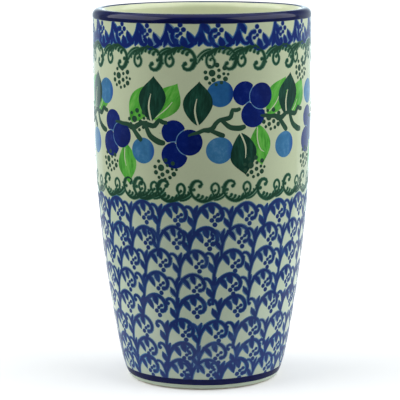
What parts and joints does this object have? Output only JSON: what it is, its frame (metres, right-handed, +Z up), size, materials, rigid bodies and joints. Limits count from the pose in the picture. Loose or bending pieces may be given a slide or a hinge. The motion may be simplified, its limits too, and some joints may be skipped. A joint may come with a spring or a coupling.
{
  "type": "handle-less stoneware mug",
  "caption": "Tall handle-less stoneware mug with a gently tapered wall, glazed inside and out, on a bare foot ring.",
  "frame": {"origin": "centre of the foot ring's flat face, on the surface the mug stands on", "axes": "+Z up along the mug's axis of revolution; +Y away from the viewer of the fruit vine's main view; +X to the right"},
  "size_m": [0.0828, 0.0828, 0.142],
  "materials": {
    "stoneware": "bare fired stoneware, fine grit",
    "cream_glaze": "clear gloss glaze over cream clay, faint specks",
    "cobalt_glaze": "dark cobalt under gloss glaze",
    "cobalt_stamp": "sponge-stamped cobalt under gloss glaze",
    "cobalt_berry": "brushed cobalt under gloss glaze",
    "sky_berry": "dabbed light blue under gloss glaze",
    "leaf_green": "brushed light green under gloss glaze",
    "dark_green": "dark green under gloss glaze"
  },
  "bodies": {
    "root": {"stoneware_body": "stoneware", "inside_glaze": "cream_glaze", "outside_glaze": "cream_glaze", "heel_glaze": "cream_glaze", "underside_glaze": "cream_glaze", "rim_band": "cobalt_glaze", "foot_band": "cobalt_glaze"}
  },
  "joints": []
}
